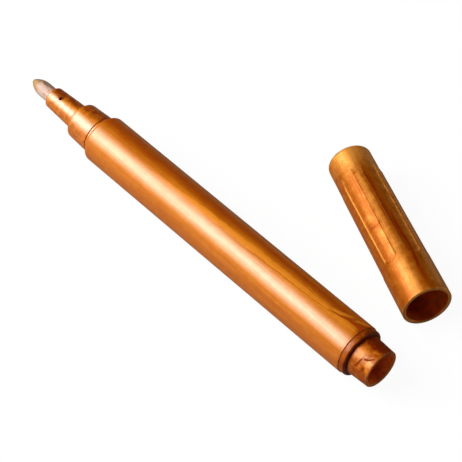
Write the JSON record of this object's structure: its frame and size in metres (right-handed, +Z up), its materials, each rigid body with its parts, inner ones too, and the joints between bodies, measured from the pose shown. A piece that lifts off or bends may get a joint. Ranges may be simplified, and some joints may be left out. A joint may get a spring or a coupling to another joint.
{
  "type": "paint marker",
  "caption": "Valve-action paint marker with a bullet nib, stepped nose and hollow rear spigot, its fluted pull-off cap lying beside it.",
  "frame": {"origin": "centre of the common bounding box of the pen and its cap, on the table they lie on", "axes": "+X along the pen from its nib to its rear spigot, +Y from the pen towards the cap, +Z up from the table"},
  "size_m": [0.127, 0.0524, 0.013],
  "materials": {
    "copper_plastic": "metallic pearl moulded in",
    "fibre": "pressed fibre stained with the paint",
    "natural_plastic": "unpigmented",
    "gasket_rubber": "matt",
    "steel": "bright"
  },
  "bodies": {
    "pen": {"barrel": "copper_plastic", "nose_section": "copper_plastic", "valve_body": "natural_plastic", "valve_gasket": "gasket_rubber", "valve_spring": "steel", "valve_retainer": "natural_plastic", "rear_plug": "copper_plastic"},
    "nib": {"nib": "fibre"},
    "valve": {"valve_stem": "natural_plastic"},
    "ball": {"mixing_ball": "steel"},
    "cap": {"cap_shell": "copper_plastic", "cap_liner": "natural_plastic"}
  },
  "joints": [
    {"name": "nib_press", "type": "slide", "parent": "pen", "child": "nib", "axis": [1, 0, 0], "range_m": [0, 0.0015], "stiffness_N_per_m": 700, "springref_m": -0.001},
    {"name": "valve_lift", "type": "slide", "parent": "pen", "child": "valve", "axis": [1, 0, 0], "range_m": [0, 0.0015], "deforming": ["valve_spring"]},
    {"name": "ball_roll", "type": "slide", "parent": "pen", "child": "ball", "axis": [1, 0, 0], "range_m": [-0.0365, 0.025]},
    {"name": "cap_draw", "type": "slide", "parent": "pen", "child": "cap", "axis": [-0.9205, 0.3907, 0], "range_m": [0, 0.029]}
  ],
  "couplings": [
    {"joint": "valve_lift", "follows": "nib_press", "ratio": 1}
  ]
}
